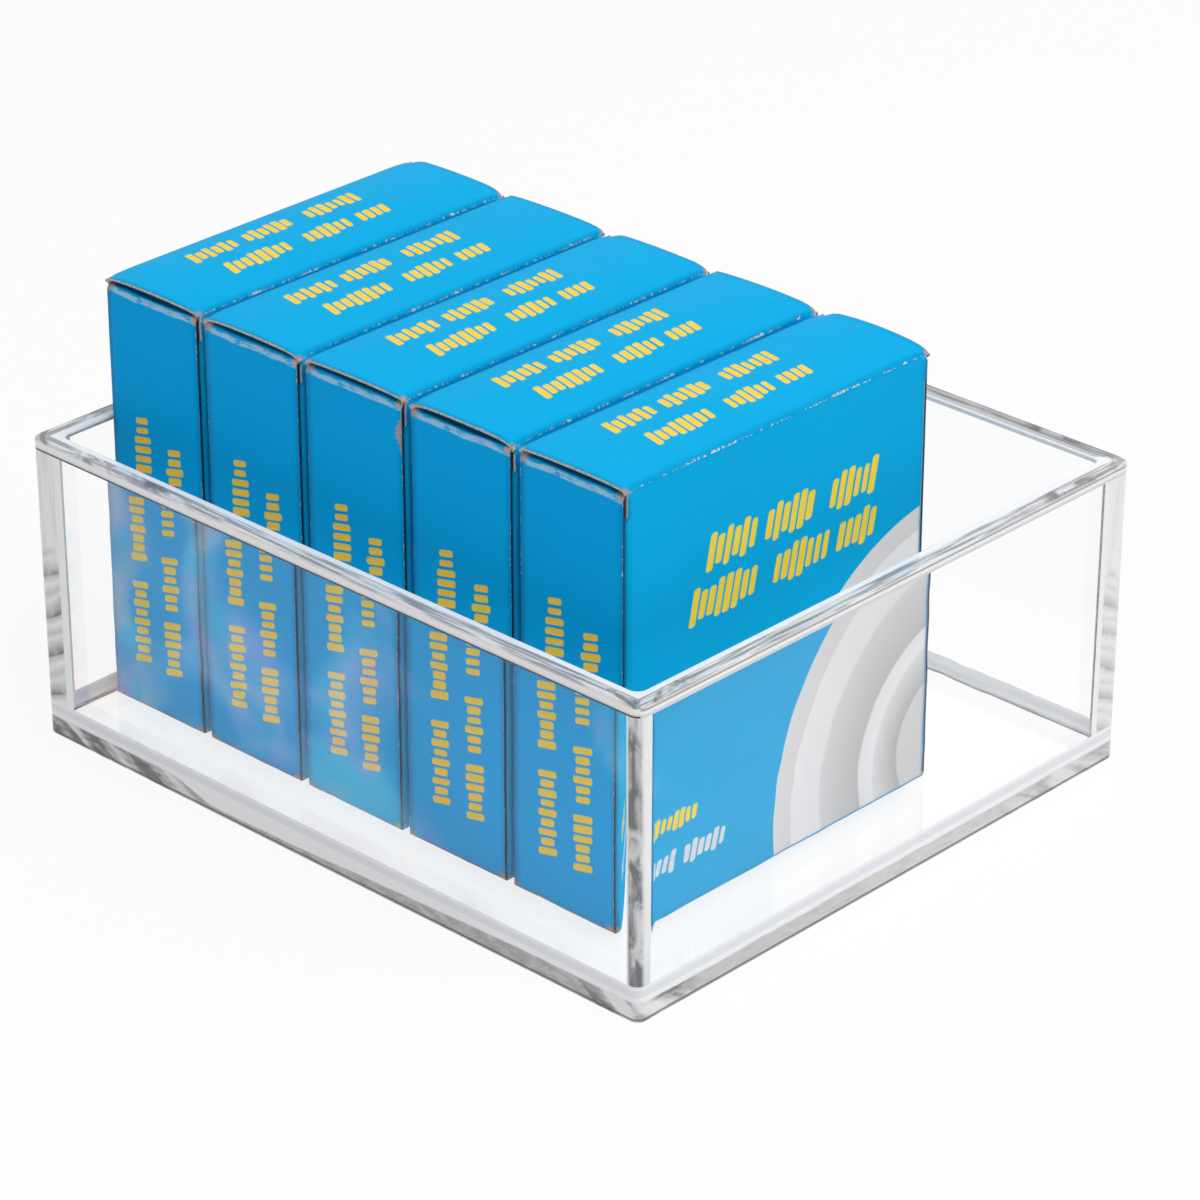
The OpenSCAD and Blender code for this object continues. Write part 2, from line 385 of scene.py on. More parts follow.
def board_paint(name, colour, a, b, wear, ink=None, tuft=2.3):
    """Printed board. a and b each name a panel coordinate and give its two ends. wear says how
    worn the edges across a and across b are, and tuft how far a corner's bruise reaches."""
    p = Paint(name, colour, SATIN)
    axes = {"x": p.x, "y": p.y, "z": p.z, "girth": p.z - p.y.low(DEPTH - p.y) * 0.6}
    shift = p.random() * 300.0
    spot = p.vector(p.x + shift, p.y + shift, p.z)

    # colour drift, fibre grain and print
    drift = p.noise(14, 3, place=spot).ramp(0.3, 0.75) * 0.10
    paper = p.mix(drift, colour, darker(colour, 0.8))
    grain = p.noise(0.35, 3, place=spot, rough=0.7)
    paper = p.mix(grain.ramp(0.35, 0.75) * 0.05, paper, GRAIN_BLUE)
    if ink:
        paper = ink(p, paper)

    # wear: white flecks along the edges and tan corners; and painted shade, a dark line down each
    # fold
    dist_a, dist_b = [(axes[way] - start).low(stop - axes[way]) for way, start, stop in (a, b)]
    fleck = p.noise(0.9, 4, place=spot, rough=0.75)
    patch = p.noise(7.0, 2, place=spot)
    bites = [patch.ramp(0.5, 0.72) * (0.5 * share) + 0.22 * share for share in wear]
    worn = ((bites[0] - dist_a) * 2.2).high((bites[1] - dist_b) * 2.2) + (fleck - 0.55) * 2.4
    worn = worn.ramp(0.0, 0.3) * (dist_a.low(dist_b)).under(1.5)
    corner = (dist_a * dist_a + dist_b * dist_b).math("SQRT")
    bruise = (corner + fleck * 2.0).ramp(tuft, tuft - 1.0)
    # painted shade: the board darkens within 1.3 mm of each fold and panel edge
    soft = dist_a.low(dist_b).ramp(1.3, 0.2)
    paper = p.mix(soft * 0.3, paper, darker(colour, 0.45))
    paper = p.mix(worn * 0.9, paper, FIBRE)
    paper = p.mix(bruise * 0.85, paper, TAN)
    p.set("Base Color", paper)
    p.set("Specular IOR Level", 0.02)
    p.set("Roughness", grain * 0.12 + worn * 0.3 + (SATIN - 0.06))
    height = grain * 0.35 + p.noise(9, 2, place=spot) * 6.0 - worn * 1.2 - bruise * 2.0
    p.bump(height, 0.05)
    return p.material


def top_ink(p, paper):
    """Two rows of dashes on the top panel."""
    rows = two_rows(p, p.y, ((p.x - 5.8, 12.0, 22, (6, 13, 14)),
                             (p.x - 12.7, 13.5, 21, (8, 9, 16))), 4.0, 1.6)
    return p.mix(rows, paper, YELLOW)


def end_ink(p, paper):
    """Two upright rows of dashes on a closure, with painted shade on the back of its fold, and the
    wear along its fold and its foot.
    """
    rows = two_rows(p, p.z, ((7.2 - p.x, 8.0, 26, (9, 10, 18)),
                             (14.2 - p.x, 8.0, 24, (6, 13, 14))), 3.7, 1.6)
    paper = p.mix(rows, paper, YELLOW)
    draw = p.random()
    wave = p.noise(6.0, 3, place=p.vector(p.x + draw * 90.0, p.y * 0.1, 0.0))
    rub = p.noise(0.9, 4, stretch=(2.4, 1, 0.6), rough=0.7)
    behind = p.y.low(DEPTH - p.y)

    # the fold's shaded back, and a wavy line rubbed light below it
    shade = behind.ramp(0.2, 0.45) * behind.ramp(1.3, 0.9) * 0.8
    paper = p.mix(shade, paper, FOLD_SHADE)
    drop = FOLD_TOP - p.z - wave * 1.2
    streak = (drop + 0.1).low(1.05 - drop).ramp(0.0, 0.3) * rub.ramp(0.38, 0.5)
    paper = p.mix(streak * behind.ramp(1.0, 0.6) * 0.75, paper, RUBBED_BLUE)

    # the bruised foot, and on some closures a scuff high on the edge at +X
    foot = (p.z + rub * 0.5).ramp(1.1, 0.6) * 0.8
    paper = p.mix(foot, paper, BRUISED_FOOT)
    edge = (WIDTH - CLOSURE_INSET - p.x) * 0.7 + abs(p.z - 64.8) * 0.28
    scuff = (edge + rub * 1.4).ramp(1.75, 1.45) * p.chance(draw * 31.0).over(0.55)
    return p.mix(scuff * 0.85, paper, TAN)


def side_ink(p, paper):
    """Two large and two small rows of dashes, and grey arcs around a point past the rear edge."""
    rows = two_rows(p, p.y, ((54.6 - p.z, 17.0, 21, (6, 13, 14)),
                             (47.0 - p.z, 13.5, 23, (8, 9, 17))), 5.8, 1.75)
    small = dashes(p, p.y, 15.5 - p.z, 3.0, 8, (), 3.0, 1.3, 5.2)
    white = dashes(p, p.y, 9.0 - p.z, 3.0, 11, (4,), 3.6, 1.5, 1.4)
    dy, dz = p.y - 70.0, p.z - 6.0
    far = (dy * dy + dz * dz).math("SQRT")
    arcs = p.levels(far / ARCS_R, ARC_GREYS)
    paper = p.mix(far.ramp(ARCS_R + 0.05, ARCS_R - 0.05), paper, arcs)
    paper = p.mix(rows.high(small), paper, SIDE_YELLOW)
    return p.mix(white, paper, WHITE_INK)


def board_set():
    """The materials of the cartons, by the name of the face that each is for."""
    top = board_paint("board_top", BLUE, ("x", 0, WIDTH), ("y", 0, DEPTH), (0.3, 0.35), top_ink)
    side = board_paint("board_side", BLUE, ("y", FLAP_Y, DEPTH - FLAP_Y), ("z", 0, SIDE_H),
                       (0.4, 0.2), side_ink)
    end = board_paint("board_end", END_SHADE_BLUE, ("x", CLOSURE_INSET, WIDTH - CLOSURE_INSET),
                      ("girth", 0, FOLD_TOP), (0.25, 0.6), end_ink, tuft=2.8)
    plain = board_paint("board_plain", BLUE, ("x", -9, WIDTH + 9), ("y", 0, DEPTH), (0.3, 0.3))
    lining = Paint("board_inside", srgb(196, 190, 180), 0.8)
    fibres = lining.noise(0.5, 4, stretch=(1, 3, 1), rough=0.7)
    lining.set("Base Color", lining.mix(fibres.ramp(0.3, 0.7),
                                        srgb(184, 177, 166), srgb(208, 203, 194)))
    lining.bump(fibres, 0.03)
    raw = Paint("board_raw", srgb(176, 178, 180), 0.85)
    layers = raw.noise(0.25, 4, rough=0.7)
    raw.set("Base Color", raw.mix(layers.ramp(0.3, 0.7),
                                  srgb(140, 146, 152), srgb(220, 218, 214)))
    raw.bump(layers, 0.05)
    cut = Paint("board_cut", srgb(8, 52, 96), 0.7)
    pale = cut.noise(1.1, 4, rough=0.75).ramp(0.6, 0.7)
    cut.set("Base Color", cut.mix(pale, srgb(8, 52, 96), srgb(120, 160, 186)))
    return {"top": top, "side": side, "end": end, "plain": plain,
            "inside": lining.material, "raw": raw.material, "cut": cut.material}


def thicken(piece):
    """Gives the sheet its board thickness, inwards. Slots 3 to 5 line it. The edge's offset is
    past the last slot, so every edge takes the last one, slot 6."""
    solid = piece.modifiers.new("board", "SOLIDIFY")
    solid.thickness = BOARD * MM
    solid.offset = -1
    solid.use_even_offset = True
    solid.material_offset = 3
    solid.material_offset_rim = 9


# ---- Carton sleeve -------------------------------------------------------

CREASE = 0.55                    # radius of the sleeve's creases
BASE_Z = 0.06                    # keeps the board clear of the tray's floor surface


def hump(share):
    """0 at 0 and at 1, and 1 half-way."""
    return math.sin(math.pi * min(max(share, 0), 1))


def sleeve(n, boards):
    """The sheet of one carton: four panels, four dust flaps and the glued lap."""
    sheet = Sheet()
    seed = n * 1.37
    crown = CROWN - 0.7 + 0.15 * math.sin(n * 2.1)
    rear_bow = crown * (1.25 if n == CARTONS else 0.45)  # the last one's rear edge is in full view
    zs = SIDE_H - CREASE

    def swell(x, y, z):
        """How far a side panel stands out at a point, never past its neighbour."""
        middle = hump(y / DEPTH) * hump(z / SIDE_H)
        bow = middle * (0.22 + 0.14 * wobble(x, y, z, 30, seed))
        return bow + 0.03 * wobble(x, y, z, 8, seed) * middle ** 0.3

    def side(x, y, z):
        out = swell(x, y, z)
        return (x - out if x < WIDTH / 2 else x + out, y, z)

    def top_point(x, y, z, t):
        """t runs from 0 to 1 across the top panel, creases included."""
        arch = 4 * t * (1 - t)
        rise = crown * arch
        front_sag = crown * 0.6 * math.exp(-y / 9.0)
        rear_sag = (crown - rear_bow) * math.exp((y - DEPTH) / 9.0)
        rise -= arch * (front_sag + rear_sag)
        rise += 0.10 * arch * wobble(x, y, 0, 16, seed)
        for corner, (cx, cy) in enumerate(((0, 0), (WIDTH, 0), (0, DEPTH), (WIDTH, DEPTH))):
            near = math.hypot(x - cx, y - cy)
            depth = 0.30 + 0.28 * math.sin(n * 3.3 + corner * 1.9)
            crush = depth * math.exp(-(near / 1.6) ** 2)
            rise -= crush
            x += (1 if cx == 0 else -1) * crush * 0.6
            y += (1 if cy == 0 else -1) * crush * 0.35
        return (x, y, z + rise)

    inner_y = FLAP_Y + CREASE
    stations = [inner_y] + spread(2.0, DEPTH - 2.0, 24) + [DEPTH - inner_y]
    ends = [LIP_BACK, FLAP_Y]
    long_stations = ends + stations + [DEPTH - e for e in reversed(ends)]

    # top panel with both side creases
    left = arc(CREASE, zs, CREASE, 180, 90, 5)
    right = [(WIDTH - x, z) for x, z in reversed(left)]
    flat = [(x, SIDE_H) for x in spread(CREASE, WIDTH - CREASE, 16)]
    profile = left[:-1] + flat + right[1:]
    rows = []
    for x, z in profile:
        t = min(max((x - 0.1) / (WIDTH - 0.2), 0), 1)
        rows.append([top_point(x, y, z, t) if z > zs else side(x, y, z) for y in long_stations])
    sheet.grid(rows, 0, flip=True)

    # side and bottom panels
    levels = [FLAP_LOW] + spread(4.0, FLAP_TOP - 3, 20) + [FLAP_TOP]
    rise = [CREASE + BASE_Z] + levels + [zs - 1.5, zs]
    low = arc(CREASE, CREASE + BASE_Z, CREASE, 180, 270, 5)
    half = [(0, z) for z in reversed(rise)] + low[1:-1]
    base = [(x, BASE_Z) for x in spread(CREASE, WIDTH - CREASE, 8)]
    ring = half + base + [(WIDTH - x, z) for x, z in reversed(half)]
    sides = [FLAP_Y] + stations + [DEPTH - FLAP_Y]
    count = len(rise)
    flap_rows = range(2, 2 + len(levels) - 1)

    def keep(i, j):
        """Leaves out the cells that a dust flap's crease takes at both ends."""
        end_cell = j in (0, len(sides) - 2)
        row = i if i < count else len(ring) - 2 - i
        return not (end_cell and row in flap_rows)

    rows = [[side(x, y, z) if 0 < z else (x, y, z) for y in sides] for x, z in ring]
    split = count - 1
    last = len(rows) - 1
    sheet.grid(rows[:split + 1], 1, keep=keep)
    sheet.grid(rows[split:last - split + 1], 2)
    sheet.grid(rows[last - split:], 1, keep=lambda i, j: keep(i + last - split, j))

    # dust flaps
    for right_side in (False, True):
        for far in (False, True):
            turn = arc(CREASE, inner_y, CREASE, 180, 270, 4)
            turn += [(x, FLAP_Y) for x in spread(CREASE, FLAP_LEN, 5)[1:]]
            rows = []
            for x, y in turn:
                part = max(x - CREASE, 0) / (FLAP_LEN - CREASE)
                line = []
                for z in reversed(levels):
                    share = (z - FLAP_LOW) / (FLAP_TOP - FLAP_LOW)
                    foot, head = FLAP_LOW + 3.0 * part, FLAP_TOP - 5.0 * part
                    height = foot + (head - foot) * share
                    px = WIDTH - x if right_side else x
                    py = DEPTH - y if far else y
                    bowed, plain = side(px, py, height), (px, py, height)
                    blend = min(x / CREASE, 1)
                    line.append(tuple(c * (1 - blend) + d * blend for c, d in zip(bowed, plain)))
                rows.append(line)
            sheet.grid(rows, 2, flip=(right_side != far))

    # glued lap, inside the bottom panel
    lap = [[(x, y, 2 * BOARD) for y in spread(2.6, DEPTH - 2.6, 8)]
           for x in spread(0.5, 7.5, 3)]
    sheet.grid(lap, 2, flip=True)

    piece = sheet.build("sleeve_%d" % n, [boards["top"], boards["side"], boards["plain"]]
                        + [boards["inside"]] * 3 + [boards["raw"]])
    thicken(piece)
    return piece


# ---- Tuck closures -------------------------------------------------------

def closure(n, far, boards):
    """The end panel, its fold and its tuck tab. far is True at the rear end."""
    sheet = Sheet()
    seed = n * 2.21 + (50 if far else 0)
    slope = math.radians(TAB_SLOPE)
    curl = arc(0.6, 0.6 + BASE_Z, 0.6, 270, 180, 5)
    panel = [(0.0, z) for z in spread(2.0, FOLD_TOP - 3.0, 24)]
    fold = arc(FOLD_R, FOLD_TOP - FOLD_R, FOLD_R, 180, 90 - TAB_SLOPE, 7)
    y0, z0 = fold[-1]
    run = (TAB_LEN - FOLD_R) / math.cos(slope)
    corner_from = run - TAB_CORNER
    tab = spread(0.35, corner_from, 6)
    tab += [corner_from + TAB_CORNER * math.sin(math.radians(a))
            for a in (15, 30, 45, 60, 72, 82, 88)]
    below_fold = (0.0, FOLD_TOP - FOLD_R - 0.9)

    # each point of path has y, z and how far out it is on the tab
    path = [(y, z, 0.0) for y, z in curl + panel + [below_fold] + fold]
    path += [(y0 + s * math.cos(slope), z0 - s * math.sin(slope), s) for s in tab]
    full = WIDTH / 2 - CLOSURE_INSET
    rows = []
    for y, z, s in path:
        reach = full
        if s > 0:
            reach = full - TAB_INSET
            if s > corner_from:
                reach -= TAB_CORNER - math.sqrt(max(TAB_CORNER ** 2 - (s - corner_from) ** 2, 0.0))
        line = []
        for u in spread(-1, 1, 12):
            x = WIDTH / 2 + u * reach
            out = 0.0
            if s == 0:
                tall = hump(z / FOLD_TOP)
                bow = math.cos(u * math.pi / 2)
                out = (0.22 + 0.22 * wobble(x, 0, z, 26, seed)) * bow * tall
                out += 0.05 * wobble(x, 0, z, 7, seed) * tall ** 0.5
            fade = math.exp(-abs(z - FOLD_TOP) / 2.5) if s == 0 else math.exp(-s / 4.0)
            drop = (0.35 + 0.2 * math.sin(n * 1.9)) * (1 - abs(u) ** 2) * fade * 0.6
            for side in (-1, 1):
                near = math.hypot((u - side) * reach, z - FOLD_TOP, y)
                crush = 0.35 + 0.25 * math.sin(n * 2.7 + side)
                drop += crush * math.exp(-(near / 1.8) ** 2)
            line.append((x, DEPTH - (y - out) if far else y - out, z - drop))
        rows.append(line)
    sheet.grid(rows, 0, flip=far)
    piece = sheet.build("%s_panel_%d" % ("rear" if far else "front", n), [boards["end"]] * 3
                        + [boards["inside"]] * 3 + [boards["cut"]])
    thicken(piece)
    return piece


# ---- Tray ----------------------------------------------------------------

SHADOW_TINT = [0.98, 0.98, 0.98, 1]   # what is left of a lamp's light past one face
NO_MIRROR = [0.02, 0.02, 0.02, 1]
# Tints of the rainbow haze, above 1 because a face mirrors so little
VIOLET, TEAL, AMBER = [2.6, 1.3, 2.8, 1], [0.6, 2.6, 3.0, 1], [3.0, 2.2, 0.9, 1]
WHITE = srgb(252, 252, 253)
# Greys of painted light and shade: the waves that refraction makes on a post
POST_REFRACTION_WAVES = ((0.0, 96), (0.05, 200), (0.25, 252), (0.45, 206), (0.6, 244), (0.85, 182),
              (1.0, 118))
# Greys of painted light and shade: the floor's stripes as refraction shows them through the rear
# foot
REFRACTED_FLOOR_STRIPES = ((0.0, 150), (0.08, 205), (0.2, 250), (0.36, 228), (0.5, 252), (0.66, 226),
                 (0.8, 253), (1.0, 244))


def lamps_through(p):
    """Lets lamps shine through the material."""
    gate = p.add("ShaderNodeLightPath")
    through = p.add("ShaderNodeBsdfTransparent")
    through.inputs[0].default_value = SHADOW_TINT
    mixer = p.add("ShaderNodeMixShader")
    p.link(gate.outputs["Is Shadow Ray"], mixer.inputs[0])
    p.link(p.shader.outputs[0], mixer.inputs[1])
    p.link(through.outputs[0], mixer.inputs[2])
    p.link(mixer.outputs[0], p.output.inputs["Surface"])


def clear_plastic():
    """Clear moulded plastic. A faint rainbow haze lies in its front wall, and thins out from
    the left to the right."""
    p = Paint("clear_plastic", [1, 1, 1, 1], 0.0, Transmission_Weight=1.0, IOR=1.52)
    hue = p.mix(p.noise(15.0, 1, warp=1.0).ramp(0.35, 0.6), VIOLET, TEAL)
    amber = p.noise(12.0, 1, place=p.vector(p.x, p.z, 30.0), warp=1.0)
    hue = p.mix(amber.ramp(0.5, 0.7), hue, AMBER)
    left = p.x.ramp(18.0, 2.0) * 0.16 + p.x.ramp(-20.0, -50.0) * 0.08 - 0.16
    in_front = (TRAY_D / 2 + p.y).ramp(8.0, 2.0)
    haze = (p.noise(20.0, 2, warp=0.5) + left).ramp(0.4, 0.62) * in_front
    p.set("Specular Tint", NO_MIRROR)
    p.set("Specular Tint", p.mix(haze, NO_MIRROR, hue))
    p.bump(p.noise(22.0, 2, warp=0.4), 0.07)
    lamps_through(p)
    return p.material


def refraction_ripples(p, tilt, pitch, stops):
    """Uneven grey waves of painted light and shade, as refraction in the plastic shows them, one
    for each pitch millimetres of height. tilt, added to the height, makes them slant."""
    phase = (p.z + tilt + p.noise(5.0, 3, stretch=(1, 1, 1.3)) * 2.6) / pitch * -1.0
    return p.levels(phase - phase.floor(), stops)


def edge_plastic(name, clearness):
    """A material for faces where the light caught in the plastic is painted on, and the
    distances in from the tray's outer faces across x and across y."""
    p = Paint(name, [0.9, 0.9, 0.9, 1], 0.12, Transmission_Weight=clearness, IOR=1.5)
    from_x, from_y = TRAY_W / 2 - abs(p.x), TRAY_D / 2 - abs(p.y)
    lamps_through(p)
    return p, from_x, from_y


def post_plastic():
    """The corner posts, painted with the light and shade that the clear plastic shows there: grey
    waves up to 33 mm or so, and upright streaks above them. The post at +X, +Y is painted pale.
    The one at
    +X, -Y, the nearest, is a narrow blotched column."""
    p, from_x, from_y = edge_plastic("clear_post", 0.0)
    inwards = from_x.high(from_y)
    waves = refraction_ripples(p, inwards * -0.6, p.x.under(0.0) * 1.6 + 5.4, POST_REFRACTION_WAVES)
    blotch = p.noise(2.6, 3, stretch=(1, 1, 1.8), warp=0.6).ramp(0.35, 0.7)
    waves = p.mix(blotch * 0.45, waves, grey(236))
    streaks = p.noise(1.2, 2, stretch=(1, 1, 12)).ramp(0.4, 0.7) * 0.5
    upper = (p.z + blotch * 3.0).ramp(31.0, 35.0)
    shade = p.mix(upper, waves, p.mix(streaks, grey(248, 0), grey(216, 2)))
    # painted light: the post at +X, +Y is made paler
    pale = p.x.over(0.0) * p.y.over(0.0)
    shade = p.mix(pale * 0.45, shade, grey(246))
    # painted highlight: white at each post's far end from its corner
    shade = p.mix(inwards.ramp(4.9, 5.2), shade, WHITE)

    # the nearest post: a painted column of dark and light refraction, with painted white beside it
    nearest = p.x.over(0.0) * p.y.under(0.0)
    column = p.noise(2.2, 3, stretch=(1, 1, 2.6), warp=0.8).ramp(0.38, 0.66)
    column = p.mix(column, srgb(120, 121, 124), grey(226, 2))
    beside = from_x.ramp(0.4, 0.1).high(from_x.ramp(1.9, 2.2))
    column = p.mix(beside, column, grey(250))
    p.set("Base Color", p.mix(nearest, shade, column))
    p.bump(blotch, 0.1)
    return p.material


def rim_plastic(name, clearness):
    """The foot and the rim of the tray, one below and one above half its height, with the light
    and shade that the plastic shows there painted on.
    """
    p, from_x, from_y = edge_plastic(name, clearness)
    inwards = from_x.low(from_y)
    along = p.x + p.y                    # from the left corner round the nearest to the right
    nearest = (TRAY_W - TRAY_D) / 2      # where the nearest corner is on that way
    rear = (TRAY_D / 2 - p.y).under(0.6)

    # painted light and shade: marbled near the corners, and even with fine dark streaks between
    # them
    spot = p.vector(along * 0.5 + p.z * 0.8, inwards * 0.5, p.z * 0.25)
    mottle = p.noise(2.4, 3, place=spot, warp=0.7)
    fine = p.noise(0.7, 3, place=p.vector(along * 0.25, inwards, p.z))
    rough = along.ramp(-74.0, -90.0).high(abs(along - nearest).ramp(15.0, 7.0))
    rough = rough.high(along.ramp(84.0, 100.0)).high((p.x - p.y).ramp(-84.0, -100.0))
    marble = (mottle + fine * 0.3).ramp(0.48, 0.82)
    dark = p.mix(marble, srgb(104, 105, 108), grey(240))
    dark = p.mix(along.ramp(60.0, 90.0) * 0.5, dark, grey(228))
    even = p.mix(along.ramp(nearest, 95.0), srgb(206, 205, 206), srgb(222, 221, 222))
    even = p.mix(fine.ramp(0.4, 0.65) * 0.25, even, grey(160, 2))
    facing = (TRAY_D / 2 + p.y).ramp(1.5, 0.3)
    fine_streaks = p.noise(0.9, 4, place=p.vector(along * 0.35, inwards, p.z * 0.9), rough=0.7)
    even = p.mix(fine_streaks.ramp(0.36, 0.62) * facing * 0.6, even, grey(146, 2))
    band = p.mix(rough, even, dark)

    # the foot: that band at the bottom below painted white, a painted lilac line where the tray's
    # floor shows through, and a painted dark line below
    top = (along.ramp(-84.0, 0.0) * 2.2 + 0.9).high(rough * 3.2)
    top = top.high(along.over(nearest) * 3.0) + mottle * 0.5
    foot = p.mix((top - p.z).ramp(-0.2, 0.2), WHITE, band)
    seen = p.x.over(0.0).high(p.y.under(0.0)) * 0.5 + 0.1
    foot = p.mix(abs(p.z - 4.9).ramp(0.75, 0.45) * seen, foot, srgb(226, 229, 240))
    foot = p.mix(abs(p.z - 0.65).ramp(0.3, 0.1) * 0.8, foot, srgb(88, 89, 92))
    # at the rear, away from the corners, the foot takes painted stripes of the floor seen through
    # it
    foot = p.mix(rear * (1.0 - rough), foot, p.levels(p.z / FOOT_TOP, REFRACTED_FLOOR_STRIPES))

    # the rim: painted streaks on top between painted white highlights at its edges, and under it
    # painted white and a thin painted dark line
    streak = p.noise(0.8, 3, place=p.vector(inwards * 1.3, along * 0.06, 0.0), warp=0.3)
    blots = (mottle + fine * 0.3).ramp(0.72, 0.5) * rough
    body = p.mix((streak.ramp(0.42, 0.6) * 0.8).high(blots), grey(232), srgb(128, 129, 132))
    body = p.mix(abs(inwards - 1.05).ramp(1.2, 0.9), WHITE, body)
    on_rim = p.z.ramp(TRAY_H - 0.55, TRAY_H - 0.25)
    on_end = from_x.under(0.4)
    line_at = on_end * 1.1 + (RIM_FROM + 0.1)
    under = p.mix(p.z.ramp(RIM_FROM + 0.7, RIM_FROM + 0.3), WHITE, srgb(222, 223, 226))
    strength = (on_end * -0.4 + 1.0) * (1.0 - rear)
    under = p.mix(abs(p.z - line_at).ramp(0.25, 0.1) * strength, under, srgb(58, 64, 72))
    rim = p.mix(on_rim, under, body)
    p.set("Base Color", p.mix(p.z.over(TRAY_H / 2), foot, rim))
    p.bump(mottle, 0.15)
    return p.material


def tray():
    """The whole tray as one closed skin: up the outside, over the rim and down to the floor."""
    sheet = Sheet()
    steps = 7                            # cells round each corner
    corner_cells = steps + 3             # with the posts beside it, and the wall after it
    rear_wall = range(corner_cells - 2, corner_cells + 1)  # the first wall, posts included
    corners = ((1, 1, 0), (-1, 1, 90), (-1, -1, 180), (1, -1, 270))

    def loop(cx, cy, r, z, posts):
        """A rounded rectangle at height z, corner centres at +-cx, +-cy, with a point before
        and after each corner."""
        ring = []
        for (sx, sy, start), (before, after) in zip(corners, posts):
            turn = arc(sx * cx, sy * cy, r, start, start + 90, steps)
            ahead = math.radians(start)
            back = (math.sin(ahead) * before, -math.cos(ahead) * before)
            on = (-math.cos(ahead) * after, -math.sin(ahead) * after)
            turn.insert(0, (turn[0][0] + back[0], turn[0][1] + back[1]))
            turn.append((turn[-1][0] + on[0], turn[-1][1] + on[1]))
            ring += [(x, y, z) for x, y in turn]
        return ring

    out_x, out_y = TRAY_W / 2 - CORNER_R, TRAY_D / 2 - CORNER_R
    low_wall = WALL + INNER_DRAFT
    in_x = TRAY_W / 2 - low_wall - INNER_CORNER_R
    in_y = TRAY_D / 2 - low_wall - INNER_CORNER_R
    r_low = CORNER_R - OUTER_DRAFT
    tall = TRAY_H - FOOT_BEVEL - RIM_BEVEL
    quarter = [(math.sin(a), math.cos(a)) for a in spread(0, math.pi / 2, 4)]

    # corner radius and height of each loop, up the outside
    outer = [(r_low - FOOT_BEVEL + FOOT_BEVEL * sa, FOOT_BEVEL - FOOT_BEVEL * ca)
             for sa, ca in quarter]
    foot_rows = len(outer)
    outer += [(r_low + OUTER_DRAFT * (z - FOOT_BEVEL) / tall, z)
              for z in (FOOT_TOP, 20, 35, RIM_FROM)]
    wall_rows = len(outer) - 1
    outer += [(CORNER_R - RIM_BEVEL + RIM_BEVEL * ca, TRAY_H - RIM_BEVEL + RIM_BEVEL * sa)
              for sa, ca in quarter]

    # and down the inside
    top_r = INNER_CORNER_R + INNER_DRAFT
    inner = [(top_r + RIM_BEVEL - RIM_BEVEL * sa, TRAY_H - RIM_BEVEL + RIM_BEVEL * ca)
             for sa, ca in quarter]
    rim_rows = len(outer) + len(inner) - 1
    fillet_top = FLOOR + FLOOR_FILLET
    inner_tall = TRAY_H - FLOOR - RIM_BEVEL - FLOOR_FILLET
    inner += [(INNER_CORNER_R + INNER_DRAFT * h / 3, fillet_top + inner_tall * h / 3)
              for h in (2, 1)]
    inner += [(INNER_CORNER_R - FLOOR_FILLET + FLOOR_FILLET * ca, fillet_top - FLOOR_FILLET * sa)
              for sa, ca in quarter]

    outer_posts = [(before - CORNER_R, after - CORNER_R) for before, after in POSTS]
    loops = [loop(out_x, out_y, r, z, outer_posts) for r, z in outer]
    loops += [loop(in_x, in_y, r, z, INNER_POSTS) for r, z in inner]
    closed = [ring + ring[:1] for ring in loops]

    def finish(i, j):
        """Slot 1 for the foot and the rim, 3 for their outer faces at the rear, 2 for the posts
        and 0 for the rest."""
        if i < foot_rows or wall_rows <= i < rim_rows:
            return 3 if j in rear_wall and i < len(outer) else 1
        at_post = j % corner_cells != corner_cells - 1
        return 2 if at_post and i < wall_rows else 0

    sheet.grid(closed, finish)
    wide = len(closed[0])
    sheet.face(list(range(wide - 2, -1, -1)))
    last = (len(closed) - 1) * wide
    sheet.face([last + i for i in range(wide - 1)])
    piece = sheet.build("tray_shell", [clear_plastic(), rim_plastic("clear_edge", 0.0),
                                       post_plastic(), rim_plastic("clear_rear", 0.45)])
    normals = piece.modifiers.new("normals", "WEIGHTED_NORMAL")
    normals.weight = 100
    normals.keep_sharp = False
    return piece


# ---- Tape rolls and cores ------------------------------------------------

def tape_paint():
    """Frosted film, with the fine rings of its turns on the roll's sides."""
    p = Paint("wound_tape", srgb(226, 228, 218), 0.35, Subsurface_Weight=0.2)
    p.shader.inputs["Subsurface Radius"].default_value = (0.002, 0.002, 0.0018)
    dy, dz = p.y - ROLL_Y, p.z - ROLL_Z
    far = (dy * dy + dz * dz).math("SQRT")
    rings = p.noise(0.4, 3, place=p.vector(far, 0.0, 0.0), rough=0.7)
    p.set("Base Color", p.mix(rings.ramp(0.3, 0.7), srgb(212, 214, 202), srgb(238, 239, 232)))
    p.bump(rings, 0.05)
    return p.material


def core_paint():
    """Plain white moulded plastic."""
    p = Paint("core_plastic", srgb(238, 238, 234), 0.4)
    peel = p.noise(1.2, 2)
    p.set("Base Color", p.mix(peel, srgb(233, 233, 229), srgb(243, 243, 240)))
    p.bump(peel, 0.01)
    return p.material


# ---- Building the object -------------------------------------------------

boards = board_set()
for n in range(1, CARTONS + 1):
    corner = Vector((ROW_X + (n - 1) * PITCH, ROW_Y, FLOOR)) * MM
    for piece, node in ((sleeve(n, boards), "carton_%d" % n),
                        (closure(n, False, boards), "front_closure_%d" % n),
                        (closure(n, True, boards), "rear_closure_%d" % n)):
        piece.location = corner
        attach(piece, node)
        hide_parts(node)

shell = tray()
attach(shell, "tray")
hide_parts("tray")

